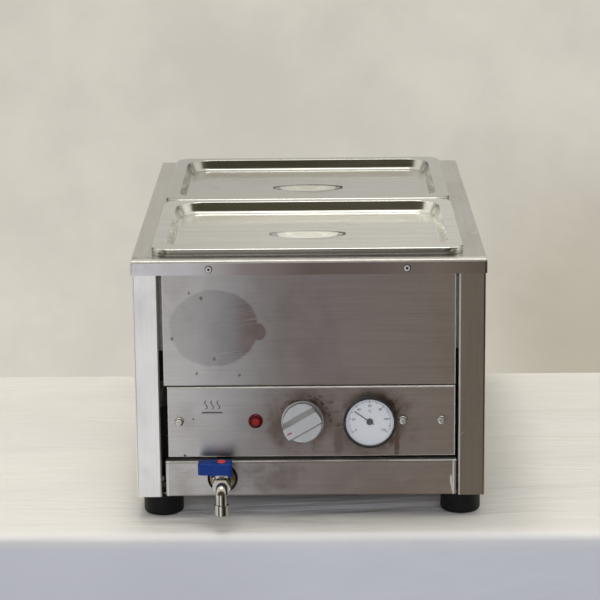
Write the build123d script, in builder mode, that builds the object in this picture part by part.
from build123d import *
import math
import os

os.makedirs("parts", exist_ok=True)

# Counter-top steam table unit: a stainless cabinet with one heated water well,
# two half-size Gastronorm pans with lids, a thermostat, a pilot lamp, a dial
# thermometer and a ball-valve drain tap at the front.
# Millimetres. +X right, +Y back, +Z up. The origin is on the counter, at the
# middle of the footprint that the tap and the cable gland reach.

# ---------------------------------------------------------------- dimensions
CAP_W, CAP_D, CAP_TOP = 368.0, 568.0, 278.4    # top deck
CAP_FLANGE = 15.2                               # turned-down edge of the deck
SHEET = 1.2                                     # cabinet sheet
THIN = 0.8                                      # pan and lid sheet
BODY_W = 365.0
BODY_INSET = 1.5                                # body stands inside the deck
FOOT_H, FOOT_R = 24.0, 21.0
TAP_REACH, GLAND_REACH = 50.6, 19.0

BODY_D = CAP_D - 2 * BODY_INSET
F = (TAP_REACH - GLAND_REACH - BODY_D) / 2      # body front plane
R = F + BODY_D                                  # body rear plane
CAP_FRONT = F - BODY_INSET
CAP_MID = CAP_FRONT + CAP_D / 2
Z0 = FOOT_H                                     # underside of the body
BODY_TOP = CAP_TOP - SHEET - 1.2

POST_L, POST_R = 26.3, 27.7                     # front returns of the sides
POST_LIP = 10.0

UP_X0, UP_X1, UP_Z0 = -152.0, 151.5, Z0 + 120.4     # upper front panel
CP_X0, CP_X1, CP_Z0, CP_Z1 = -148.5, 151.3, Z0 + 43.3, Z0 + 119.3
RAIL_X0, RAIL_X1, RAIL_H, RAIL_RET = -151.7, 152.8, 39.0, 10.7

CTRL_Z = Z0 + 82.3                              # row of controls
SCREW_X = (-136.8, 97.1, 137.3)
LAMP_X, KNOB_X, GAUGE_X = -56.9, -7.9, 62.2
RIVET_X, RIVET_Z = (-103.1, 101.1), CAP_TOP - 9.0

WELL_W, WELL_D, WELL_R = 308.0, 510.0, 18.0     # 1/1 Gastronorm opening
PAN_W, PAN_L = 325.0, 265.0                     # 1/2 Gastronorm, over the rim
PAN_SHIFT = -1.5
PAN_GAP = 0.5
PAN_Y = (CAP_FRONT + 19.9 + PAN_L / 2, CAP_FRONT + 19.9 + PAN_L * 1.5 + PAN_GAP)
WELL_Y = (PAN_Y[0] + PAN_Y[1]) / 2
TANK_Z = 143.0                                  # underside of the tank floor
PAN_BODY_W, PAN_BODY_L, PAN_BODY_R = 300.0, 240.0, 28.0
PAN_DEPTH = 100.0
RIM_Z0, RIM_Z1 = CAP_TOP + 0.3, CAP_TOP + 2.6   # rolled rim of the pans
LID_Z0, LID_Z1 = RIM_Z1 + 0.3, CAP_TOP + 8.0    # skirt and top of the lids
LID_RIM, LID_SINK = 14.5, 12.0

DRAIN_X, DRAIN_Y, DRAIN_Z = -92.3, F + 62.0, Z0 + 20.2
STEM_P = 22.0                                   # tap stem in front of the body
SPOUT_P = 43.0

FEET = [(-156.2, F + 28.0), (158.8, F + 28.0), (-156.2, R - 28.0), (158.8, R - 28.0)]
REAR_SCREWS = [(x, z) for x in (-171.0, 171.0) for z in (50.0, 150.0, 245.0)]
GLAND_X, GLAND_Z = 110.0, 62.0
STUDS = [(x, F + y) for x in (-20.0, 20.0) for y in (160.0, 300.0, 440.0)]
POCKET_X, POCKET_Y0, POCKET_Y1, POCKET_Z = 75.0, F + 95.0, F + 200.0, TANK_Z - 3.8


ELEM_Z, EX = TANK_Z - 4.1, 110.0                # element centre line


def front(y):
    """Workplane at depth y that faces the operator: local x is X, local y is Z."""
    return Plane.XZ.offset(-y)


# ------------------------------------------------------------------ top deck
with BuildPart() as top_deck:
    with BuildSketch(Plane.XY.offset(CAP_TOP - CAP_FLANGE)):
        with Locations((0, CAP_MID)):
            RectangleRounded(CAP_W, CAP_D, 2.6)
    extrude(amount=CAP_FLANGE)
    fillet(top_deck.edges().group_by(Axis.Z)[-1], radius=2.2)
    offset(amount=-SHEET, openings=top_deck.faces().sort_by(Axis.Z)[0])
    with BuildSketch(Plane.XY.offset(CAP_TOP - 6)):
        with Locations((0, WELL_Y)):
            RectangleRounded(WELL_W, WELL_D, WELL_R)
    extrude(amount=12, mode=Mode.SUBTRACT)
    with BuildSketch(front(CAP_FRONT + 4)):
        with Locations(*[(x, RIVET_Z) for x in RIVET_X]):
            Circle(2.1)
    extrude(amount=8, mode=Mode.SUBTRACT)
top_deck.part.label = "top_deck"
export_step(top_deck.part, "parts/top_deck.step")

# ---------------------------------------------------------------- water tank
with BuildPart() as water_tank:
    with BuildSketch(Plane.XY.offset(TANK_Z)):
        with Locations((0, WELL_Y)):
            RectangleRounded(WELL_W + 2 * SHEET, WELL_D + 2 * SHEET, WELL_R + SHEET)
    extrude(amount=CAP_TOP - SHEET - TANK_Z)
    fillet(water_tank.edges().group_by(Axis.Z)[0], radius=12.0)
    offset(amount=-SHEET, openings=water_tank.faces().sort_by(Axis.Z)[-1])
    # hanging flange, welded under the deck
    with BuildSketch(Plane.XY.offset(CAP_TOP - 2 * SHEET)):
        with Locations((0, WELL_Y)):
            RectangleRounded(WELL_W + 22, WELL_D + 22, WELL_R + 11)
            RectangleRounded(WELL_W, WELL_D, WELL_R, mode=Mode.SUBTRACT)
    extrude(amount=SHEET)
    # bulb pockets under the floor
    with BuildSketch(front(POCKET_Y1)):
        with Locations((-POCKET_X, POCKET_Z), (POCKET_X, POCKET_Z)):
            Circle(4.2)
    extrude(amount=POCKET_Y1 - POCKET_Y0)
    with BuildSketch(front(POCKET_Y1 - 2)):
        with Locations((-POCKET_X, POCKET_Z), (POCKET_X, POCKET_Z)):
            Circle(3.15)
    extrude(amount=POCKET_Y1 - POCKET_Y0, mode=Mode.SUBTRACT)
    # welded studs for the element clamps
    with BuildSketch(Plane.XY.offset(120.5)):
        with Locations(*STUDS):
            Circle(2.5)
    extrude(amount=TANK_Z - 120.5 + 0.6)
    # drain hole
    with BuildSketch(Plane.XY.offset(TANK_Z - 5)):
        with Locations((DRAIN_X, DRAIN_Y)):
            Circle(8.2)
    extrude(amount=10, mode=Mode.SUBTRACT)
water_tank.part.label = "water_tank"
export_step(water_tank.part, "parts/water_tank.step")

# --------------------------------------------------------------- side panels
with BuildPart() as side_panel_left:
    with BuildSketch(Plane.XY.offset(Z0)):
        with BuildLine():
            FilletPolyline(
                (-BODY_W / 2 + POST_L, F + POST_LIP),
                (-BODY_W / 2 + POST_L, F),
                (-BODY_W / 2, F),
                (-BODY_W / 2, R - SHEET),
                (-BODY_W / 2 + 22, R - SHEET),
                radius=2.0,
            )
            offset(amount=SHEET, side=Side.RIGHT)
        make_face()
    extrude(amount=BODY_TOP - Z0)
    with BuildSketch(Plane.XY.offset(BODY_TOP - SHEET)):
        with Locations((-BODY_W / 2 + 0.6, F + 14)):
            Rectangle(14.4, BODY_D - 30, align=(Align.MIN, Align.MIN))
    extrude(amount=SHEET)
    with BuildSketch(front(R)):
        with Locations(*[(x, z) for x, z in REAR_SCREWS if x < 0]):
            Circle(2.75)
    extrude(amount=4, mode=Mode.SUBTRACT)
side_panel_left.part.label = "side_panel_left"
export_step(side_panel_left.part, "parts/side_panel_left.step")

with BuildPart() as side_panel_right:
    with BuildSketch(Plane.XY.offset(Z0)):
        with BuildLine():
            FilletPolyline(
                (BODY_W / 2 - POST_R, F + POST_LIP),
                (BODY_W / 2 - POST_R, F),
                (BODY_W / 2, F),
                (BODY_W / 2, R - SHEET),
                (BODY_W / 2 - 22, R - SHEET),
                radius=2.0,
            )
            offset(amount=SHEET, side=Side.LEFT)
        make_face()
    extrude(amount=BODY_TOP - Z0)
    with BuildSketch(Plane.XY.offset(BODY_TOP - SHEET)):
        with Locations((BODY_W / 2 - 0.6, F + 14)):
            Rectangle(14.4, BODY_D - 30, align=(Align.MAX, Align.MIN))
    extrude(amount=SHEET)
    with BuildSketch(front(R)):
        with Locations(*[(x, z) for x, z in REAR_SCREWS if x > 0]):
            Circle(2.75)
    extrude(amount=4, mode=Mode.SUBTRACT)
side_panel_right.part.label = "side_panel_right"
export_step(side_panel_right.part, "parts/side_panel_right.step")

# -------------------------------------------------------- upper front panel
UP_Y = F + 0.8
with BuildPart() as front_upper_panel:
    with BuildSketch(Plane.YZ.offset(UP_X0)):
        with BuildLine():
            FilletPolyline(
                (UP_Y, CAP_TOP - 2.6), (UP_Y, UP_Z0), (UP_Y + 12, UP_Z0), radius=1.9
            )
            offset(amount=SHEET, side=Side.LEFT)
        make_face()
    extrude(amount=UP_X1 - UP_X0)
    with BuildSketch(front(UP_Y + 4)):
        with Locations(*[(x, RIVET_Z) for x in RIVET_X]):
            Circle(2.1)
    extrude(amount=8, mode=Mode.SUBTRACT)
front_upper_panel.part.label = "front_upper_panel"
export_step(front_upper_panel.part, "parts/front_upper_panel.step")

# ------------------------------------------------------------ control panel
with BuildPart() as control_panel:
    with BuildSketch(Plane.YZ.offset(CP_X0)):
        with BuildLine():
            FilletPolyline(
                (F + 12, CP_Z1), (F, CP_Z1), (F, CP_Z0), (F + 12, CP_Z0), radius=1.9
            )
            offset(amount=SHEET, side=Side.LEFT)
        make_face()
    extrude(amount=CP_X1 - CP_X0)
    with BuildSketch(front(F + 4)):
        with Locations((LAMP_X, CTRL_Z)):
            Circle(6.3)
        with Locations((KNOB_X, CTRL_Z)):
            Circle(5.2)
        with Locations((KNOB_X, CTRL_Z - 14), (KNOB_X, CTRL_Z + 14)):
            Circle(2.2)
        with Locations((GAUGE_X, CTRL_Z)):
            Circle(25.1)
        with Locations(*[(x, CTRL_Z) for x in SCREW_X]):
            Circle(2.75)
    extrude(amount=8, mode=Mode.SUBTRACT)
control_panel.part.label = "control_panel"
export_step(control_panel.part, "parts/control_panel.step")

# --------------------------------------------------- base tray, front rail
with BuildPart() as base_tray:
    with BuildSketch(Plane.YZ.offset(RAIL_X0)):
        with BuildLine():
            FilletPolyline(
                (F + RAIL_RET, Z0 + RAIL_H),
                (F, Z0 + RAIL_H),
                (F, Z0),
                (F + 12, Z0),
                radius=2.9,
            )
            offset(amount=SHEET, side=Side.LEFT)
        make_face()
    extrude(amount=RAIL_X1 - RAIL_X0)
    with BuildSketch(Plane.XY.offset(Z0)):
        with Locations((0, F + POST_LIP + 0.5)):
            Rectangle(362.0, BODY_D - POST_LIP - 3.1, align=(Align.CENTER, Align.MIN))
    extrude(amount=SHEET)
    # side and rear upstands
    with BuildSketch(Plane.XY.offset(Z0)):
        with Locations((-181.0, F + 12)):
            Rectangle(SHEET, BODY_D - 15, align=(Align.MIN, Align.MIN))
        with Locations((181.0, F + 12)):
            Rectangle(SHEET, BODY_D - 15, align=(Align.MAX, Align.MIN))
        with Locations((0, R - 2.6)):
            Rectangle(362.0, SHEET, align=(Align.CENTER, Align.MAX))
    extrude(amount=16)
    with BuildSketch(Plane.XY.offset(Z0 - 2)):
        with Locations(*FEET):
            Circle(4.3)
        with Locations(*[(x, F + y) for x in (-70, 0, 70) for y in (150, 170, 190, 380, 400, 420)]):
            SlotOverall(46, 6)
    extrude(amount=6, mode=Mode.SUBTRACT)
    with BuildSketch(front(F + 4)):
        with Locations((DRAIN_X, DRAIN_Z)):
            Circle(16.0)
    extrude(amount=8, mode=Mode.SUBTRACT)
base_tray.part.label = "base_tray"
export_step(base_tray.part, "parts/base_tray.step")

# --------------------------------------------------------------- rear panel
with BuildPart() as rear_panel:
    with BuildSketch(front(R)):
        with Locations((0, Z0 + 0.6)):
            Rectangle(362.4, CAP_TOP - 2.0 - Z0 - 0.6, align=(Align.CENTER, Align.MIN))
        with Locations(*REAR_SCREWS):
            Circle(2.75, mode=Mode.SUBTRACT)
        with Locations((GLAND_X, GLAND_Z)):
            Circle(10.2, mode=Mode.SUBTRACT)
        with Locations(*[(x, z) for x in (-105, -35, 35) for z in (60, 72, 84, 96)]):
            SlotOverall(48, 5, mode=Mode.SUBTRACT)
    extrude(amount=SHEET)
rear_panel.part.label = "rear_panel"
export_step(rear_panel.part, "parts/rear_panel.step")

# ----------------------------------------- brackets behind the front panels
with BuildPart() as panel_brackets:
    BK_L, BK_R = -BODY_W / 2 + POST_L + 0.05, BODY_W / 2 - POST_R - 0.05
    with BuildSketch(front(F + 2.8)):
        with Locations((BK_L, CTRL_Z)):
            Rectangle(31, 30, align=(Align.MIN, Align.CENTER))
        with Locations((BK_R, CTRL_Z)):
            Rectangle(29, 30, align=(Align.MAX, Align.CENTER))
        with Locations((SCREW_X[0], CTRL_Z), (SCREW_X[2], CTRL_Z)):
            Circle(2.75, mode=Mode.SUBTRACT)
    extrude(amount=1.5)
    with BuildSketch(front(UP_Y + SHEET + 1.6)):
        with Locations((BK_L, UP_Z0 + 22)):
            Rectangle(20, 32, align=(Align.MIN, Align.CENTER))
        with Locations((BK_R, UP_Z0 + 22)):
            Rectangle(20, 32, align=(Align.MAX, Align.CENTER))
    extrude(amount=1.5)
panel_brackets.part.label = "panel_brackets"
export_step(panel_brackets.part, "parts/panel_brackets.step")

# ---------------------------------------------- pan-head screws, M5, nine
with BuildPart() as panel_screws:
    with BuildSketch(front(F)):
        with Locations(*[(x, CTRL_Z) for x in SCREW_X]):
            Circle(4.9)
    extrude(amount=3.0)
    fillet(panel_screws.edges().group_by(Axis.Y)[0], radius=2.2)
    with BuildSketch(front(F + 9.5)):
        with Locations(*[(x, CTRL_Z) for x in SCREW_X]):
            Circle(2.5)
    extrude(amount=9.5)
    with BuildSketch(front(F - 1.8)):
        with Locations(*[(x, CTRL_Z) for x in SCREW_X]):
            Rectangle(4.6, 1.0)
            Rectangle(1.0, 4.6)
    extrude(amount=2, mode=Mode.SUBTRACT)
    with BuildSketch(front(R)):
        with Locations(*REAR_SCREWS):
            Circle(4.9)
    extrude(amount=-3.0)
    fillet(panel_screws.edges().group_by(Axis.Y)[-1], radius=2.2)
    with BuildSketch(front(R)):
        with Locations(*REAR_SCREWS):
            Circle(2.5)
    extrude(amount=9.5)
    with BuildSketch(front(R + 3.8)):
        with Locations(*REAR_SCREWS):
            Rectangle(4.6, 1.0)
            Rectangle(1.0, 4.6)
    extrude(amount=2, mode=Mode.SUBTRACT)
panel_screws.part.label = "panel_screws"
export_step(panel_screws.part, "parts/panel_screws.step")

# M5 hex nuts: behind the panel screws, and on the element clamps
with BuildPart() as hex_nuts:
    with BuildSketch(front(F + 7.0)):
        with Locations(*[(x, CTRL_Z) for x in SCREW_X]):
            RegularPolygon(4.0, 6, major_radius=False)
            Circle(2.55, mode=Mode.SUBTRACT)
    extrude(amount=4.2)
    with BuildSketch(front(R - 2 * SHEET)):
        with Locations(*REAR_SCREWS):
            RegularPolygon(4.0, 6, major_radius=False)
            Circle(2.55, mode=Mode.SUBTRACT)
    extrude(amount=4.2)
    # above and below the heat shield, on the clamp studs
    with BuildSketch(Plane.XY.offset(128.5)):
        with Locations(*STUDS):
            RegularPolygon(4.0, 6, major_radius=False)
            Circle(2.55, mode=Mode.SUBTRACT)
    extrude(amount=ELEM_Z - 6.2 - 128.5)
    with BuildSketch(Plane.XY.offset(123.4)):
        with Locations(*STUDS):
            RegularPolygon(4.0, 6, major_radius=False)
            Circle(2.55, mode=Mode.SUBTRACT)
    extrude(amount=4.1)
hex_nuts.part.label = "hex_nuts"
export_step(hex_nuts.part, "parts/hex_nuts.step")

# ---------------------------------------------------- blind rivets, deck edge
with BuildPart() as deck_rivets:
    with BuildSketch(front(CAP_FRONT)):
        with Locations(*[(x, RIVET_Z) for x in RIVET_X]):
            Circle(3.9)
    extrude(amount=1.4)
    fillet(deck_rivets.edges().group_by(Axis.Y)[0], radius=1.1)
    with BuildSketch(front(UP_Y + SHEET)):
        with Locations(*[(x, RIVET_Z) for x in RIVET_X]):
            Circle(2.0)
    extrude(amount=UP_Y + SHEET - CAP_FRONT)
    with BuildSketch(front(UP_Y + SHEET + 2.6)):
        with Locations(*[(x, RIVET_Z) for x in RIVET_X]):
            Circle(2.9)
    extrude(amount=2.6)
    with BuildSketch(front(UP_Y + 2)):
        with Locations(*[(x, RIVET_Z) for x in RIVET_X]):
            Circle(0.95)
    extrude(amount=12, mode=Mode.SUBTRACT)
deck_rivets.part.label = "deck_rivets"
export_step(deck_rivets.part, "parts/deck_rivets.step")

# ---------------------------------------------------------------------- feet
with BuildPart() as rubber_feet:
    with BuildSketch():
        with Locations(*FEET):
            Circle(FOOT_R)
    extrude(amount=FOOT_H)
    fillet(rubber_feet.edges().group_by(Axis.Z)[0], radius=4.5)
    fillet(rubber_feet.edges().group_by(Axis.Z)[-1], radius=1.0)
    with BuildSketch():
        with Locations(*FEET):
            Circle(4.2)
    extrude(amount=FOOT_H, mode=Mode.SUBTRACT)
    with BuildSketch():
        with Locations(*FEET):
            Circle(9.0)
    extrude(amount=9.0, mode=Mode.SUBTRACT)
rubber_feet.part.label = "rubber_feet"
export_step(rubber_feet.part, "parts/rubber_feet.step")

with BuildPart() as foot_bolts:
    with BuildSketch(Plane.XY.offset(3.6)):
        with Locations(*FEET):
            RegularPolygon(6.5, 6, major_radius=False)
    extrude(amount=5.4)
    with BuildSketch(Plane.XY.offset(9.0)):
        with Locations(*FEET):
            Circle(4.0)
    extrude(amount=30.0)
foot_bolts.part.label = "foot_bolts"
export_step(foot_bolts.part, "parts/foot_bolts.step")

with BuildPart() as foot_nuts:
    with BuildSketch(Plane.XY.offset(Z0 + SHEET)):
        with Locations(*FEET):
            Circle(8.9)
    extrude(amount=1.6)
    with BuildSketch(Plane.XY.offset(Z0 + SHEET)):
        with Locations(*FEET):
            RegularPolygon(6.5, 6, major_radius=False)
    extrude(amount=8.0)
    with BuildSketch(Plane.XY.offset(Z0)):
        with Locations(*FEET):
            Circle(4.05)
    extrude(amount=12.0, mode=Mode.SUBTRACT)
foot_nuts.part.label = "foot_nuts"
export_step(foot_nuts.part, "parts/foot_nuts.step")

# ---------------------------------------------------------------- pilot lamp
with BuildPart() as lamp_lens:
    with BuildSketch(front(F)):
        with Locations((LAMP_X, CTRL_Z)):
            Circle(7.6)
    extrude(amount=3.4)
    fillet(lamp_lens.edges().group_by(Axis.Y)[0], radius=3.0)
    with BuildSketch(front(F + 8)):
        with Locations((LAMP_X, CTRL_Z)):
            Circle(4.4)
    extrude(amount=8)
lamp_lens.part.label = "lamp_lens"
export_step(lamp_lens.part, "parts/lamp_lens.step")

with BuildPart() as lamp_body:
    with BuildSketch(front(F + 22)):
        with Locations((LAMP_X, CTRL_Z)):
            Circle(6.1)
    extrude(amount=22)
    with BuildSketch(front(F + 3.4)):
        with Locations((LAMP_X, CTRL_Z)):
            Circle(8.6)
    extrude(amount=2.1)
    with BuildSketch(front(F + 10)):
        with Locations((LAMP_X, CTRL_Z)):
            Circle(4.5)
    extrude(amount=10, mode=Mode.SUBTRACT)
    with BuildSketch(front(F + 30)):
        with Locations((LAMP_X - 3, CTRL_Z), (LAMP_X + 3, CTRL_Z)):
            Rectangle(0.8, 4.6)
    extrude(amount=8.5)
lamp_body.part.label = "lamp_body"
export_step(lamp_body.part, "parts/lamp_body.step")

# ---------------------------------------------------------------- thermostat
with BuildPart() as thermostat_body:
    with BuildSketch(front(F + 3.0)):
        with Locations((KNOB_X, CTRL_Z)):
            RectangleRounded(46, 36, 3)
    extrude(amount=1.7)
    with BuildSketch(front(F + 38)):
        with Locations((KNOB_X, CTRL_Z)):
            RectangleRounded(36, 38, 2)
    extrude(amount=35)
    with BuildSketch(front(F + 3)):
        with Locations((KNOB_X, CTRL_Z)):
            Circle(4.9)
    extrude(amount=7.5)
    with BuildSketch(front(F + 13)):
        with Locations((KNOB_X, CTRL_Z)):
            Circle(3.05)
    extrude(amount=20, mode=Mode.SUBTRACT)
    with BuildSketch(front(F + 9)):
        with Locations((KNOB_X, CTRL_Z - 14), (KNOB_X, CTRL_Z + 14)):
            Circle(2.05)
    extrude(amount=9, mode=Mode.SUBTRACT)
    with BuildSketch(front(F + 46)):
        with Locations((KNOB_X - 10, CTRL_Z + 8), (KNOB_X + 12, CTRL_Z + 8), (KNOB_X - 4, CTRL_Z - 8)):
            Rectangle(0.8, 6.3)
    extrude(amount=8.5)
thermostat_body.part.label = "thermostat_body"
export_step(thermostat_body.part, "parts/thermostat_body.step")

with BuildPart() as thermostat_screws:
    with BuildSketch(front(F)):
        with Locations((KNOB_X, CTRL_Z - 14), (KNOB_X, CTRL_Z + 14)):
            Circle(3.4)
    extrude(amount=1.8)
    with BuildSketch(front(F + 8)):
        with Locations((KNOB_X, CTRL_Z - 14), (KNOB_X, CTRL_Z + 14)):
            Circle(2.0)
    extrude(amount=8)
    with BuildSketch(front(F - 0.8)):
        with Locations((KNOB_X, CTRL_Z - 14), (KNOB_X, CTRL_Z + 14)):
            Rectangle(7.0, 1.0)
    extrude(amount=2, mode=Mode.SUBTRACT)
thermostat_screws.part.label = "thermostat_screws"
export_step(thermostat_screws.part, "parts/thermostat_screws.step")

with BuildPart() as thermostat_shaft:
    with BuildSketch(front(F + 12)):
        with Locations((KNOB_X, CTRL_Z)):
            Circle(3.0)
    extrude(amount=30)
    with BuildSketch(front(F - 6)):
        with Locations((KNOB_X, CTRL_Z + 2.0)):
            Rectangle(8, 3, align=(Align.CENTER, Align.MIN))
    extrude(amount=14, mode=Mode.SUBTRACT)
thermostat_shaft.part.label = "thermostat_shaft"
export_step(thermostat_shaft.part, "parts/thermostat_shaft.step")

KNOB_TILT = 30.0
KT = math.radians(KNOB_TILT)
# flared grip bar that runs across the knob and ends at its edge
with BuildPart() as knob_grip:
    with BuildSketch(
        Plane(
            origin=(KNOB_X, F - 10.0, CTRL_Z),
            x_dir=(-math.sin(KT), 0, math.cos(KT)),
            z_dir=(math.cos(KT), 0, math.sin(KT)),
        )
    ):
        with BuildLine():
            Polyline((-10.6, 0), (10.6, 0), (6.5, 12), (-6.5, 12), close=True)
        make_face()
    extrude(amount=24.0, both=True)
    fillet(knob_grip.edges().group_by(Axis.Y)[0].filter_by(lambda e: e.length > 30), radius=1.2)
    with BuildSketch(front(F - 9.0)):
        with Locations((KNOB_X, CTRL_Z)):
            Circle(20.6)
    extrude(amount=14.0, mode=Mode.INTERSECT)

with BuildPart() as thermostat_knob:
    with BuildSketch(front(F - 0.6)):
        with Locations((KNOB_X, CTRL_Z)):
            Circle(22.0)
    extrude(amount=2.2)
    with BuildSketch(front(F - 2.6)):
        with Locations((KNOB_X, CTRL_Z)):
            Circle(21.2)
    extrude(amount=8.4, taper=3)
    fillet(thermostat_knob.edges().group_by(Axis.Y)[0], radius=1.2)
    add(knob_grip.part)
    # hollow back and shaft boss
    with BuildSketch(front(F)):
        with Locations((KNOB_X, CTRL_Z)):
            Circle(18.6)
    extrude(amount=8.0, mode=Mode.SUBTRACT)
    with BuildSketch(front(F - 5.8)):
        with Locations((KNOB_X, CTRL_Z)):
            Circle(6.2)
    extrude(amount=6.0)
    with BuildSketch(front(F - 5)):
        with Locations((KNOB_X, CTRL_Z)):
            Circle(3.03)
    extrude(amount=13.2, mode=Mode.SUBTRACT)
    with BuildSketch(front(F - 6)):
        with Locations((KNOB_X, CTRL_Z + 2.05)):
            Rectangle(5.2, 1.6, align=(Align.CENTER, Align.MIN))
    extrude(amount=12.2)
    # inlay recess at the pointing end of the grip
    with BuildSketch(front(F - 21.2)):
        with Locations((KNOB_X, CTRL_Z)):
            with PolarLocations(15.6, 1, start_angle=180 + KNOB_TILT):
                Rectangle(5.6, 1.3)
    extrude(amount=2, mode=Mode.SUBTRACT)
thermostat_knob.part.label = "thermostat_knob"
export_step(thermostat_knob.part, "parts/thermostat_knob.step")

with BuildPart() as knob_mark:
    with BuildSketch(front(F - 21.2)):
        with Locations((KNOB_X, CTRL_Z)):
            with PolarLocations(15.6, 1, start_angle=180 + KNOB_TILT):
                Rectangle(5.5, 1.2)
    extrude(amount=0.8)
knob_mark.part.label = "knob_mark"
export_step(knob_mark.part, "parts/knob_mark.step")

with BuildPart() as thermostat_capillary:
    with BuildLine():
        FilletPolyline(
            (KNOB_X - 12, F + 38.1, CTRL_Z - 12),
            (KNOB_X - 12, F + 72, CTRL_Z - 12),
            (-POCKET_X, F + 72, CTRL_Z - 12),
            (-POCKET_X, F + 72, POCKET_Z),
            (-POCKET_X, POCKET_Y0 + 6, POCKET_Z),
            radius=10,
        )
    with BuildSketch(front(F + 38.1)):
        with Locations((KNOB_X - 12, CTRL_Z - 12)):
            Circle(1.0)
    sweep()
    with BuildSketch(front(POCKET_Y1 - 4)):
        with Locations((-POCKET_X, POCKET_Z)):
            Circle(3.0)
    extrude(amount=POCKET_Y1 - POCKET_Y0 - 10)
thermostat_capillary.part.label = "thermostat_capillary"
export_step(thermostat_capillary.part, "parts/thermostat_capillary.step")

# ---------------------------------------------------------- dial thermometer
with BuildPart() as gauge_case:
    with BuildSketch(front(F)):
        with Locations((GAUGE_X, CTRL_Z)):
            Circle(27.3)
    extrude(amount=9.0)
    with BuildSketch(front(F + 16)):
        with Locations((GAUGE_X, CTRL_Z)):
            Circle(24.8)
    extrude(amount=16)
    with BuildSketch(front(F - 3.8)):
        with Locations((GAUGE_X, CTRL_Z)):
            Circle(25.9)
    extrude(amount=8, mode=Mode.SUBTRACT)
    with BuildSketch(front(F + 15)):
        with Locations((GAUGE_X, CTRL_Z)):
            Circle(23.8)
    extrude(amount=20, mode=Mode.SUBTRACT)
    with BuildSketch(front(F + 32)):
        with Locations((GAUGE_X, CTRL_Z)):
            Circle(2.0)
    extrude(amount=16.5)
gauge_case.part.label = "gauge_case"
export_step(gauge_case.part, "parts/gauge_case.step")

with BuildPart() as gauge_bezel:
    with BuildSketch(front(F - 9.0)):
        with Locations((GAUGE_X, CTRL_Z)):
            Circle(27.7)
            Circle(25.0, mode=Mode.SUBTRACT)
    extrude(amount=1.2)
    fillet(gauge_bezel.edges().group_by(Axis.Y)[0], radius=0.5)
gauge_bezel.part.label = "gauge_bezel"
export_step(gauge_bezel.part, "parts/gauge_bezel.step")

with BuildPart() as gauge_glass:
    with BuildSketch(front(F - 7.4)):
        with Locations((GAUGE_X, CTRL_Z)):
            Circle(25.7)
    extrude(amount=1.6)
gauge_glass.part.label = "gauge_glass"
export_step(gauge_glass.part, "parts/gauge_glass.step")

with BuildPart() as gauge_dial:
    with BuildSketch(front(F - 3.8)):
        with Locations((GAUGE_X, CTRL_Z)):
            Circle(25.6)
            Circle(0.9, mode=Mode.SUBTRACT)
    extrude(amount=0.6)
gauge_dial.part.label = "gauge_dial"
export_step(gauge_dial.part, "parts/gauge_dial.step")

POINTER = 145.0     # direction of the needle, degrees from +X towards +Z
with BuildPart() as gauge_pointer:
    with BuildSketch(front(F - 5.0)):
        with Locations((GAUGE_X, CTRL_Z)):
            Circle(3.4)
    extrude(amount=1.6)
    with BuildSketch(front(F - 5.2)):
        with Locations((GAUGE_X, CTRL_Z)):
            with PolarLocations(7.0, 1, start_angle=POINTER):
                Rectangle(24.6, 0.9)
    extrude(amount=0.5)
    with BuildSketch(front(F - 1)):
        with Locations((GAUGE_X, CTRL_Z)):
            Circle(0.8)
    extrude(amount=4.2)
gauge_pointer.part.label = "gauge_pointer"
export_step(gauge_pointer.part, "parts/gauge_pointer.step")

with BuildPart() as gauge_clamp:
    with BuildSketch(front(F + 22)):
        with Locations((GAUGE_X, CTRL_Z)):
            Rectangle(56.4, 12)
    extrude(amount=1.5)
    with BuildSketch(front(F + 22)):
        with Locations((GAUGE_X - 27.4, CTRL_Z), (GAUGE_X + 27.4, CTRL_Z)):
            Rectangle(1.6, 12)
    extrude(amount=20.7)
    with BuildSketch(front(F + 25)):
        with Locations((GAUGE_X, CTRL_Z)):
            Circle(2.1)
    extrude(amount=8, mode=Mode.SUBTRACT)
    with BuildSketch(front(F + 26)):
        with Locations((GAUGE_X, CTRL_Z)):
            RegularPolygon(3.5, 6, major_radius=False)
            Circle(2.05, mode=Mode.SUBTRACT)
    extrude(amount=3.9)
gauge_clamp.part.label = "gauge_clamp"
export_step(gauge_clamp.part, "parts/gauge_clamp.step")

with BuildPart() as gauge_capillary:
    with BuildLine():
        FilletPolyline(
            (POCKET_X, F + 16.05, CTRL_Z - 8),
            (POCKET_X, F + 72, CTRL_Z - 8),
            (POCKET_X, F + 72, POCKET_Z),
            (POCKET_X, POCKET_Y0 + 6, POCKET_Z),
            radius=10,
        )
    with BuildSketch(front(F + 16.05)):
        with Locations((POCKET_X, CTRL_Z - 8)):
            Circle(1.0)
    sweep()
    with BuildSketch(front(POCKET_Y1 - 4)):
        with Locations((POCKET_X, POCKET_Z)):
            Circle(3.0)
    extrude(amount=POCKET_Y1 - POCKET_Y0 - 10)
gauge_capillary.part.label = "gauge_capillary"
export_step(gauge_capillary.part, "parts/gauge_capillary.step")

# --------------------------------------------------- over-temperature cut-out
with BuildPart() as cutout_bracket:
    with BuildSketch(front(F + 2.8)):
        with Locations((SCREW_X[1] - 5.4, CTRL_Z)):
            Rectangle(13, 28, align=(Align.MIN, Align.CENTER))
        with Locations((SCREW_X[1], CTRL_Z)):
            Circle(2.75, mode=Mode.SUBTRACT)
    extrude(amount=1.5)
    with BuildSketch(front(F + 32)):
        with Locations((SCREW_X[1] + 6.1, CTRL_Z)):
            Rectangle(1.5, 28, align=(Align.MIN, Align.CENTER))
    extrude(amount=30.7)
cutout_bracket.part.label = "cutout_bracket"
export_step(cutout_bracket.part, "parts/cutout_bracket.step")

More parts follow.
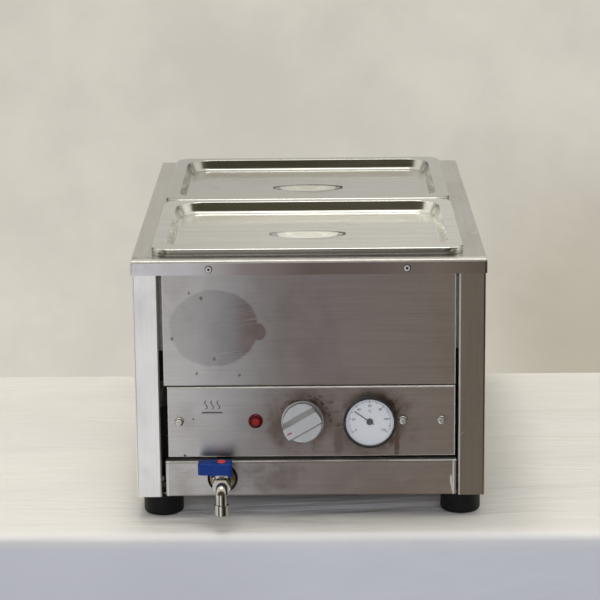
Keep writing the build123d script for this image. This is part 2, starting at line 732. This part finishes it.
with BuildPart() as cutout_switch:
    with BuildSketch(front(F + 30)):
        with Locations((SCREW_X[1] + 7.7, CTRL_Z)):
            RectangleRounded(15, 26, 1.5, align=(Align.MIN, Align.CENTER))
    extrude(amount=22)
    with BuildSketch(front(F + 37)):
        with Locations((SCREW_X[1] + 12, CTRL_Z - 8), (SCREW_X[1] + 12, CTRL_Z + 8)):
            Rectangle(0.8, 6.3)
    extrude(amount=7.5)
cutout_switch.part.label = "cutout_switch"
export_step(cutout_switch.part, "parts/cutout_switch.step")

# ----------------------------------------------------------- heating element
with BuildPart() as heating_element:
    with BuildLine():
        FilletPolyline(
            (-EX, F + 84, 114),
            (-EX, F + 84, ELEM_Z),
            (-EX, R - 60, ELEM_Z),
            (-40, R - 60, ELEM_Z),
            (-40, F + 120, ELEM_Z),
            (40, F + 120, ELEM_Z),
            (40, R - 60, ELEM_Z),
            (EX, R - 60, ELEM_Z),
            (EX, F + 84, ELEM_Z),
            (EX, F + 84, 114),
            radius=14,
        )
    with BuildSketch(Plane.XY.offset(114)):
        with Locations((-EX, F + 84)):
            Circle(4.0)
    sweep()
heating_element.part.label = "heating_element"
export_step(heating_element.part, "parts/heating_element.step")

with BuildPart() as element_terminals:
    with BuildSketch(Plane.XY.offset(104)):
        with Locations((-EX, F + 84), (EX, F + 84)):
            Circle(5.0)
    extrude(amount=10)
    with BuildSketch(Plane.XY.offset(96)):
        with Locations((-EX, F + 84), (EX, F + 84)):
            Circle(1.8)
    extrude(amount=8.5)
element_terminals.part.label = "element_terminals"
export_step(element_terminals.part, "parts/element_terminals.step")

with BuildPart() as element_clamps:
    with BuildSketch(Plane.XY.offset(ELEM_Z - 6.2)):
        with Locations(*[(0, F + y) for y in (160.0, 300.0, 440.0)]):
            Rectangle(250, 20)
        with Locations(*STUDS):
            Circle(2.7, mode=Mode.SUBTRACT)
    extrude(amount=2.0)
element_clamps.part.label = "element_clamps"
export_step(element_clamps.part, "parts/element_clamps.step")

with BuildPart() as heat_shield:
    with BuildSketch(Plane.YZ.offset(-140)):
        with BuildLine():
            FilletPolyline(
                (F + 105, 119.5), (F + 105, 128.5), (R - 40, 128.5), (R - 40, 119.5), radius=2.0
            )
            offset(amount=1.0, side=Side.RIGHT)
        make_face()
    extrude(amount=280)
    with BuildSketch(Plane.XY.offset(124)):
        with Locations(*STUDS):
            Circle(2.7)
    extrude(amount=8, mode=Mode.SUBTRACT)
heat_shield.part.label = "heat_shield"
export_step(heat_shield.part, "parts/heat_shield.step")

with BuildPart() as tank_insulation:
    with BuildSketch(Plane.XY.offset(150)):
        with Locations((0, WELL_Y)):
            RectangleRounded(WELL_W + 2 * SHEET + 25, WELL_D + 2 * SHEET + 25, 26)
            RectangleRounded(WELL_W + 2 * SHEET + 1, WELL_D + 2 * SHEET + 1, WELL_R + SHEET + 0.5, mode=Mode.SUBTRACT)
    extrude(amount=124)
tank_insulation.part.label = "tank_insulation"
export_step(tank_insulation.part, "parts/tank_insulation.step")

# ----------------------------------------------------------- drain and tap
with BuildPart() as drain_pipe:
    with BuildLine():
        FilletPolyline(
            (DRAIN_X, DRAIN_Y, TANK_Z + SHEET),
            (DRAIN_X, DRAIN_Y, DRAIN_Z),
            (DRAIN_X, F + 3, DRAIN_Z),
            radius=24,
        )
    with BuildSketch(Plane.XY.offset(TANK_Z + SHEET)):
        with Locations((DRAIN_X, DRAIN_Y)):
            Circle(8.0)
            Circle(6.5, mode=Mode.SUBTRACT)
    sweep()
    with BuildSketch(Plane.XY.offset(TANK_Z + SHEET)):
        with Locations((DRAIN_X, DRAIN_Y)):
            Circle(13.0)
            Circle(6.5, mode=Mode.SUBTRACT)
    extrude(amount=1.2)
    with BuildSketch(Plane.XY.offset(TANK_Z - 3.0)):
        with Locations((DRAIN_X, DRAIN_Y)):
            Circle(13.0)
            Circle(7.6, mode=Mode.SUBTRACT)
    extrude(amount=3.0)
drain_pipe.part.label = "drain_pipe"
export_step(drain_pipe.part, "parts/drain_pipe.step")

with BuildPart() as drain_backnut:
    with BuildSketch(front(F + 14)):
        with Locations((DRAIN_X, DRAIN_Z)):
            RegularPolygon(12.0, 6, major_radius=False)
    extrude(amount=9)
    with BuildSketch(front(F + 5)):
        with Locations((DRAIN_X, DRAIN_Z)):
            Circle(13.2)
    extrude(amount=8)
    fillet(drain_backnut.edges().group_by(Axis.Y)[0], radius=1.2)
    with BuildSketch(front(F + 15)):
        with Locations((DRAIN_X, DRAIN_Z)):
            Circle(8.05)
    extrude(amount=12.1, mode=Mode.SUBTRACT)
    with BuildSketch(front(F + 15)):
        with Locations((DRAIN_X, DRAIN_Z)):
            Circle(7.05)
    extrude(amount=30, mode=Mode.SUBTRACT)
drain_backnut.part.label = "drain_backnut"
export_step(drain_backnut.part, "parts/drain_backnut.step")

with BuildPart() as valve_body:
    with BuildSketch(front(F + 2.8)):
        with Locations((DRAIN_X, DRAIN_Z)):
            Circle(7.0)
    extrude(amount=10)
    with BuildSketch(front(F - 5.0)):
        with Locations((DRAIN_X, DRAIN_Z)):
            RegularPolygon(9.6, 8, major_radius=False, rotation=22.5)
    extrude(amount=6.5)
    with BuildSketch(front(F - 11.0)):
        with Locations((DRAIN_X, DRAIN_Z)):
            Circle(9.5)
    extrude(amount=18.8)
    # stem tower
    with BuildSketch(Plane.XY.offset(DRAIN_Z)):
        with Locations((DRAIN_X, F - STEM_P)):
            RegularPolygon(6.2, 8, major_radius=False, rotation=22.5)
    extrude(amount=12.3)
    with BuildSketch(front(F + 3)):
        with Locations((DRAIN_X, DRAIN_Z)):
            Circle(4.5)
    extrude(amount=20, mode=Mode.SUBTRACT)
    with BuildSketch(front(F - 13.0)):
        with Locations((DRAIN_X, DRAIN_Z)):
            Circle(7.6)
    extrude(amount=20, mode=Mode.SUBTRACT)
    with BuildSketch(Plane.XY.offset(DRAIN_Z)):
        with Locations((DRAIN_X, F - STEM_P)):
            Circle(3.06)
    extrude(amount=20, mode=Mode.SUBTRACT)
valve_body.part.label = "valve_body"
export_step(valve_body.part, "parts/valve_body.step")

BALL_R = 6.5
with BuildPart() as valve_seats:
    with BuildSketch(front(F - 13.05)):
        with Locations((DRAIN_X, DRAIN_Z)):
            Circle(7.55)
            Circle(4.0, mode=Mode.SUBTRACT)
    extrude(amount=4.2)
    with BuildSketch(front(F - STEM_P - BALL_R + 1.75)):
        with Locations((DRAIN_X, DRAIN_Z)):
            Circle(7.55)
            Circle(4.0, mode=Mode.SUBTRACT)
    extrude(amount=2.85)
    with Locations((DRAIN_X, F - STEM_P, DRAIN_Z)):
        Sphere(BALL_R + 0.06, mode=Mode.SUBTRACT)
valve_seats.part.label = "valve_seats"
export_step(valve_seats.part, "parts/valve_seats.step")

with BuildPart() as valve_ball:
    with Locations((DRAIN_X, F - STEM_P, DRAIN_Z)):
        Sphere(BALL_R)
    with BuildSketch(Plane.YZ.offset(DRAIN_X - 10)):
        with Locations((F - STEM_P, DRAIN_Z)):
            Circle(3.9)
    extrude(amount=20, mode=Mode.SUBTRACT)
    with BuildSketch(Plane.XY.offset(DRAIN_Z + 4.4)):
        with Locations((DRAIN_X, F - STEM_P)):
            Rectangle(12, 2.6)
    extrude(amount=4, mode=Mode.SUBTRACT)
valve_ball.part.label = "valve_ball"
export_step(valve_ball.part, "parts/valve_ball.step")

LEVER_Z0, LEVER_Z1 = DRAIN_Z + 12.8, DRAIN_Z + 24.8
with BuildPart() as valve_stem:
    with BuildSketch(Plane.XY.offset(DRAIN_Z + BALL_R + 0.1)):
        with Locations((DRAIN_X, F - STEM_P)):
            Circle(3.0)
    extrude(amount=12.3 - BALL_R + 0.4)
    with BuildSketch(Plane.XY.offset(DRAIN_Z + 4.5)):
        with Locations((DRAIN_X, F - STEM_P)):
            Rectangle(4.6, 2.5)
    extrude(amount=3.0)
    with BuildSketch(Plane.XY.offset(DRAIN_Z + 12.0)):
        with Locations((DRAIN_X, F - STEM_P)):
            Rectangle(4.2, 4.2)
    extrude(amount=LEVER_Z1 - 3.2 - DRAIN_Z - 12.0)
valve_stem.part.label = "valve_stem"
export_step(valve_stem.part, "parts/valve_stem.step")

with BuildPart() as valve_lever:
    with BuildSketch(Plane.XY.offset(LEVER_Z0)):
        with Locations((DRAIN_X, F - STEM_P)):
            RectangleRounded(21.6, 20.0, 3.0)
        with Locations((DRAIN_X - 15.6, F - STEM_P)):
            RectangleRounded(18.0, 17.6, 4.0)
    extrude(amount=LEVER_Z1 - LEVER_Z0)
    # two skirts that straddle the stem tower
    with BuildSketch(Plane.XY.offset(DRAIN_Z + 9.9)):
        with Locations((DRAIN_X - 8.95, F - STEM_P), (DRAIN_X + 8.95, F - STEM_P)):
            Rectangle(3.7, 15.0)
    extrude(amount=LEVER_Z0 - DRAIN_Z - 9.9 + 0.5)
    fillet(valve_lever.edges().group_by(Axis.Z)[-1], radius=1.8)
    with BuildSketch(Plane.XY.offset(LEVER_Z0 - 1)):
        with Locations((DRAIN_X, F - STEM_P)):
            Rectangle(4.3, 4.3)
    extrude(amount=20, mode=Mode.SUBTRACT)
    with BuildSketch(Plane.XY.offset(LEVER_Z1 - 3.0)):
        with Locations((DRAIN_X, F - STEM_P)):
            Circle(4.5)
    extrude(amount=5, mode=Mode.SUBTRACT)
valve_lever.part.label = "valve_lever"
export_step(valve_lever.part, "parts/valve_lever.step")

with BuildPart() as lever_cap:
    with BuildSketch(Plane.XY.offset(LEVER_Z1 - 3.0)):
        with Locations((DRAIN_X, F - STEM_P)):
            Circle(4.4)
    extrude(amount=4.2)
    fillet(lever_cap.edges().group_by(Axis.Z)[-1], radius=1.1)
lever_cap.part.label = "lever_cap"
export_step(lever_cap.part, "parts/lever_cap.step")

with BuildPart() as union_nut:
    with BuildSketch(front(F - 29.85)):
        with Locations((DRAIN_X, DRAIN_Z)):
            RegularPolygon(8.6, 6, major_radius=False, rotation=0)
    extrude(amount=6.1)
    chamfer(union_nut.edges().group_by(Axis.Y)[0], length=0.6)
    with BuildSketch(front(F - 29.7)):
        with Locations((DRAIN_X, DRAIN_Z)):
            Circle(7.5)
    extrude(amount=1.0)
    with BuildSketch(front(F - 25)):
        with Locations((DRAIN_X, DRAIN_Z)):
            Circle(4.3)
    extrude(amount=20, mode=Mode.SUBTRACT)
    with BuildSketch(front(F - 33.0)):
        with Locations((DRAIN_X, DRAIN_Z)):
            Circle(6.2)
    extrude(amount=10, mode=Mode.SUBTRACT)
union_nut.part.label = "union_nut"
export_step(union_nut.part, "parts/union_nut.step")

SPOUT_Z0, SPOUT_RING = 18.0, 11.5
with BuildPart() as drain_spout:
    with BuildLine():
        FilletPolyline(
            (DRAIN_X, F - 33.1, DRAIN_Z),
            (DRAIN_X, F - SPOUT_P, DRAIN_Z),
            (DRAIN_X, F - SPOUT_P, SPOUT_Z0 + 1),
            radius=7.0,
        )
    with BuildSketch(front(F - 33.1)):
        with Locations((DRAIN_X, DRAIN_Z)):
            Circle(6.15)
            Circle(4.3, mode=Mode.SUBTRACT)
    sweep()
    with BuildSketch(Plane.XY.offset(SPOUT_Z0)):
        with Locations((DRAIN_X, F - SPOUT_P)):
            Circle(7.6)
            Circle(4.3, mode=Mode.SUBTRACT)
    extrude(amount=SPOUT_RING)
    chamfer(drain_spout.edges().filter_by(GeomType.CIRCLE).group_by(Axis.Z)[0].sort_by(SortBy.RADIUS)[-1], length=0.7)
drain_spout.part.label = "drain_spout"
export_step(drain_spout.part, "parts/drain_spout.step")

# ---------------------------------------------------------- supply at the rear
with BuildPart() as terminal_block:
    with BuildSketch(Plane.XY.offset(Z0 + SHEET)):
        with Locations((72, R - 60)):
            RectangleRounded(52, 22, 2)
    extrude(amount=16)
    with BuildSketch(Plane.XY.offset(Z0 + SHEET)):
        with Locations(*[(72 + d, R - 60) for d in (-16, 0, 16)]):
            Rectangle(11, 14)
    extrude(amount=22)
    with BuildSketch(Plane.XY.offset(Z0 + SHEET + 16)):
        with Locations(*[(72 + d, R - 60) for d in (-16, 0, 16)]):
            Circle(2.6)
    extrude(amount=10, mode=Mode.SUBTRACT)
terminal_block.part.label = "terminal_block"
export_step(terminal_block.part, "parts/terminal_block.step")

with BuildPart() as earth_stud:
    with BuildSketch(Plane.XY.offset(Z0 + SHEET)):
        with Locations((135, R - 70)):
            Circle(2.5)
    extrude(amount=18)
    with BuildSketch(Plane.XY.offset(Z0 + SHEET)):
        with Locations((135, R - 70)):
            Circle(5.0)
    extrude(amount=1.0)
    with BuildSketch(Plane.XY.offset(Z0 + SHEET + 1)):
        with Locations((135, R - 70)):
            RegularPolygon(4.0, 6, major_radius=False)
    extrude(amount=4.0)
earth_stud.part.label = "earth_stud"
export_step(earth_stud.part, "parts/earth_stud.step")

with BuildPart() as gland_body:
    with BuildSketch(front(R)):
        with Locations((GLAND_X, GLAND_Z)):
            RegularPolygon(12.0, 6, major_radius=False)
    extrude(amount=-5.0)
    with BuildSketch(front(R + 4.5)):
        with Locations((GLAND_X, GLAND_Z)):
            Circle(9.0)
    extrude(amount=-6.5)
    with BuildSketch(front(R + 1)):
        with Locations((GLAND_X, GLAND_Z)):
            Circle(10.0)
    extrude(amount=12)
    with BuildSketch(front(R + 12)):
        with Locations((GLAND_X, GLAND_Z)):
            Circle(6.0)
    extrude(amount=30, mode=Mode.SUBTRACT)
gland_body.part.label = "gland_body"
export_step(gland_body.part, "parts/gland_body.step")

with BuildPart() as gland_locknut:
    with BuildSketch(front(R - SHEET)):
        with Locations((GLAND_X, GLAND_Z)):
            RegularPolygon(13.0, 6, major_radius=False)
            Circle(10.05, mode=Mode.SUBTRACT)
    extrude(amount=5.0)
gland_locknut.part.label = "gland_locknut"
export_step(gland_locknut.part, "parts/gland_locknut.step")

with BuildPart() as gland_dome:
    with BuildSketch(front(R + 5.1)):
        with Locations((GLAND_X, GLAND_Z)):
            Circle(12.0)
    extrude(amount=-(GLAND_REACH - 5.1))
    fillet(gland_dome.edges().group_by(Axis.Y)[-1], radius=4.0)
    with BuildSketch(front(R + 5)):
        with Locations((GLAND_X, GLAND_Z)):
            Circle(9.05)
    extrude(amount=-11.4, mode=Mode.SUBTRACT)
    with BuildSketch(front(R + 5)):
        with Locations((GLAND_X, GLAND_Z)):
            Circle(6.0)
    extrude(amount=-20, mode=Mode.SUBTRACT)
gland_dome.part.label = "gland_dome"
export_step(gland_dome.part, "parts/gland_dome.step")

with BuildPart() as gland_seal:
    with BuildSketch(front(R + 11.2)):
        with Locations((GLAND_X, GLAND_Z)):
            Circle(8.9)
            Circle(4.2, mode=Mode.SUBTRACT)
    extrude(amount=-5.0)
gland_seal.part.label = "gland_seal"
export_step(gland_seal.part, "parts/gland_seal.step")

# ------------------------------------------------------------ internal wires
WIRE_R = 1.4
WIRES = [
    # live: terminal block to cut-out
    [(72, R - 71.3, 34), (72, F + 66, 34), (SCREW_X[1] + 20, F + 66, 34),
     (SCREW_X[1] + 20, F + 66, CTRL_Z - 2), (SCREW_X[1] + 20, F + 30.1, CTRL_Z - 2)],
    # cut-out to thermostat
    [(SCREW_X[1] + 17, F + 30.1, CTRL_Z + 6), (SCREW_X[1] + 17, F + 54, CTRL_Z + 6),
     (KNOB_X + 6, F + 54, CTRL_Z + 6), (KNOB_X + 6, F + 38.1, CTRL_Z + 6)],
    # neutral: terminal block to element
    [(88, R - 71.3, 34), (88, F + 84, 34), (EX, F + 84, 34), (EX, F + 84, 95.9)],
    # thermostat to element
    [(KNOB_X + 2, F + 38.1, CTRL_Z - 16), (KNOB_X + 2, F + 47, CTRL_Z - 16),
     (-EX, F + 47, CTRL_Z - 16), (-EX, F + 84, CTRL_Z - 16), (-EX, F + 84, 95.9)],
    # lamp to thermostat
    [(LAMP_X, F + 22.1, CTRL_Z), (LAMP_X, F + 60, CTRL_Z),
     (KNOB_X - 3, F + 60, CTRL_Z), (KNOB_X - 3, F + 38.1, CTRL_Z)],
]
WIRE_BEND = [7.0, 7.0, 7.0, 4.0, 7.0]
with BuildPart() as wiring:
    for route, bend in zip(WIRES, WIRE_BEND):
        with BuildLine() as wire_path:
            FilletPolyline(*route, radius=bend)
        with BuildSketch(front(route[0][1])):
            with Locations((route[0][0], route[0][2])):
                Circle(WIRE_R)
        sweep()
wiring.part.label = "wiring"
export_step(wiring.part, "parts/wiring.step")

# --------------------------------------------------------- pans, lids, handles
for which, pan_y in zip(("front", "rear"), PAN_Y):
    with BuildPart() as pan_hollow:
        with BuildSketch(Plane.XY.offset(RIM_Z1)):
            with Locations((PAN_SHIFT, pan_y)):
                RectangleRounded(PAN_BODY_W - 2 * THIN, PAN_BODY_L - 2 * THIN, PAN_BODY_R - THIN)
        extrude(amount=-(PAN_DEPTH - THIN), taper=3.5)
        fillet(pan_hollow.edges().group_by(Axis.Z)[0], radius=12.2)

    with BuildPart() as pan:
        # deep-drawn body
        with BuildSketch(Plane.XY.offset(RIM_Z1)):
            with Locations((PAN_SHIFT, pan_y)):
                RectangleRounded(PAN_BODY_W, PAN_BODY_L, PAN_BODY_R)
        extrude(amount=-PAN_DEPTH, taper=3.5)
        fillet(pan.edges().group_by(Axis.Z)[0], radius=13.0)
        add(pan_hollow.part, mode=Mode.SUBTRACT)
        # flat rim with a turned-down edge
        with BuildSketch(Plane.XY.offset(RIM_Z1 - THIN)):
            with Locations((PAN_SHIFT, pan_y)):
                RectangleRounded(PAN_W, PAN_L, 20)
                RectangleRounded(PAN_BODY_W - 1.0, PAN_BODY_L - 1.0, PAN_BODY_R - 0.5, mode=Mode.SUBTRACT)
        extrude(amount=THIN)
        with BuildSketch(Plane.XY.offset(RIM_Z0)):
            with Locations((PAN_SHIFT, pan_y)):
                RectangleRounded(PAN_W, PAN_L, 20)
                RectangleRounded(PAN_W - 2 * THIN, PAN_L - 2 * THIN, 20 - THIN, mode=Mode.SUBTRACT)
        extrude(amount=RIM_Z1 - RIM_Z0)
    pan.part.label = "pan_" + which
    export_step(pan.part, "parts/pan_" + which + ".step")

    with BuildPart() as sink_outer:
        with BuildSketch(Plane.XY.offset(LID_Z1 - THIN)):
            with Locations((PAN_SHIFT, pan_y)):
                RectangleRounded(PAN_W - 2 * LID_RIM + 0.9, PAN_L - 2 * LID_RIM + 0.9, 30)
        extrude(amount=-LID_SINK, taper=26)
        fillet(sink_outer.edges().group_by(Axis.Z)[0], radius=5.8)

    with BuildPart() as sink_hollow:
        with BuildSketch(Plane.XY.offset(LID_Z1)):
            with Locations((PAN_SHIFT, pan_y)):
                RectangleRounded(PAN_W - 2 * LID_RIM, PAN_L - 2 * LID_RIM, 30)
        extrude(amount=-LID_SINK, taper=26)
        fillet(sink_hollow.edges().group_by(Axis.Z)[0], radius=5.0)

    with BuildPart() as lid:
        with BuildSketch(Plane.XY.offset(LID_Z0)):
            with Locations((PAN_SHIFT, pan_y)):
                RectangleRounded(PAN_W, PAN_L, 20)
        extrude(amount=LID_Z1 - LID_Z0)
        fillet(lid.edges().group_by(Axis.Z)[-1], radius=2.2)
        offset(amount=-THIN, openings=lid.faces().sort_by(Axis.Z)[0])
        # sunk middle with rounded bends: outside of the sheet, then the hollow
        add(sink_outer.part)
        add(sink_hollow.part, mode=Mode.SUBTRACT)
        fillet([e for e in lid.edges().group_by(Axis.Z)[-1]
                if abs(e.center().X - PAN_SHIFT) < PAN_W / 2 - LID_RIM + 0.1
                and abs(e.center().Y - pan_y) < PAN_L / 2 - LID_RIM + 0.1], radius=1.5)
        # finger dish
        with BuildSketch(Plane.XY.offset(LID_Z1 - LID_SINK - THIN / 2)):
            with Locations((PAN_SHIFT, pan_y)):
                Ellipse(39.8, 26.8)
        with BuildSketch(Plane.XY.offset(LID_Z1 - 2 * LID_SINK - THIN)):
            with Locations((PAN_SHIFT, pan_y)):
                Ellipse(27.8, 15.8)
        loft()
        with BuildSketch(Plane.XY.offset(LID_Z1 - LID_SINK + 0.01)):
            with Locations((PAN_SHIFT, pan_y)):
                Ellipse(39.0, 26.0)
        with BuildSketch(Plane.XY.offset(LID_Z1 - 2 * LID_SINK)):
            with Locations((PAN_SHIFT, pan_y)):
                Ellipse(27.0, 15.0)
        loft(mode=Mode.SUBTRACT)
    lid.part.label = "lid_" + which
    export_step(lid.part, "parts/lid_" + which + ".step")

    # leaf-shaped strap, arched over the dish and spot-welded at both tips
    with BuildPart() as handle:
        HZ = LID_Z1 - LID_SINK
        with BuildSketch(Plane.XZ.offset(-(pan_y + 10))):
            with BuildLine():
                ThreePointArc((PAN_SHIFT - 41.5, HZ), (PAN_SHIFT, HZ + 3.0), (PAN_SHIFT + 41.5, HZ))
                Line((PAN_SHIFT + 41.5, HZ), (PAN_SHIFT + 41.5, HZ + 1.5))
                ThreePointArc((PAN_SHIFT + 41.5, HZ + 1.5), (PAN_SHIFT, HZ + 4.5), (PAN_SHIFT - 41.5, HZ + 1.5))
                Line((PAN_SHIFT - 41.5, HZ + 1.5), (PAN_SHIFT - 41.5, HZ))
            make_face()
        extrude(amount=20)
        with BuildSketch(Plane.XY.offset(HZ - 2)):
            with BuildLine():
                ThreePointArc((PAN_SHIFT - 41.5, pan_y - 3.0), (PAN_SHIFT, pan_y - 6.2), (PAN_SHIFT + 41.5, pan_y - 3.0))
                ThreePointArc((PAN_SHIFT + 41.5, pan_y - 3.0), (PAN_SHIFT + 43.2, pan_y), (PAN_SHIFT + 41.5, pan_y + 3.0))
                ThreePointArc((PAN_SHIFT + 41.5, pan_y + 3.0), (PAN_SHIFT, pan_y + 6.2), (PAN_SHIFT - 41.5, pan_y + 3.0))
                ThreePointArc((PAN_SHIFT - 41.5, pan_y + 3.0), (PAN_SHIFT - 43.2, pan_y), (PAN_SHIFT - 41.5, pan_y - 3.0))
            make_face()
        extrude(amount=12, mode=Mode.INTERSECT)
    handle.part.label = "lid_handle_" + which
    export_step(handle.part, "parts/lid_handle_" + which + ".step")
